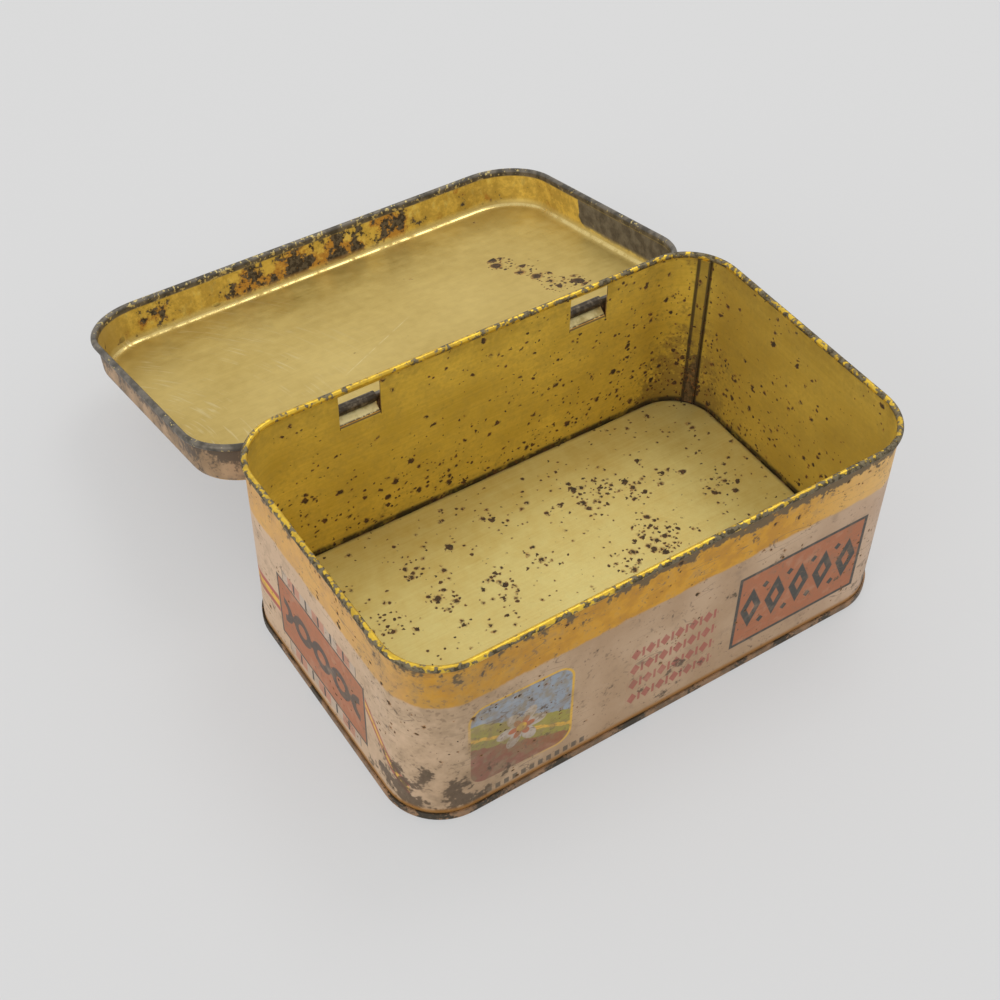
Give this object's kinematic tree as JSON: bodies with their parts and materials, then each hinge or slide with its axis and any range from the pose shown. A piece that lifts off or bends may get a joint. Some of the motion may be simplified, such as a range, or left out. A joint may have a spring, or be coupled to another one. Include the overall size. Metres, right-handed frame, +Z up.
{
  "type": "saffron tin",
  "caption": "Small rectangular spice tin of lacquered tinplate with rounded corners, a rolled rim and a hinged lid thrown back.",
  "frame": {"origin": "centre of the base, in the plane the tin stands on", "axes": "+X along the long side, +Y towards the hinged back, +Z up"},
  "size_m": [0.107, 0.1295, 0.0406],
  "materials": {
    "printed_wall": "worn print outside, gold lacquer inside",
    "lacquered_bottom": "pale gold lacquer with rust pits",
    "lacquered_lid": "gold lacquer inside, worn print outside"
  },
  "bodies": {
    "can": {"can_wall": "printed_wall", "can_bottom": "lacquered_bottom"},
    "lid": {"lid": "lacquered_lid"}
  },
  "joints": [
    {"name": "lid_hinge", "type": "hinge", "parent": "can", "child": "lid", "pos_m": [0, 0.033, 0.0338], "axis": [1, 0, 0], "range_deg": [0, 193.2]}
  ]
}
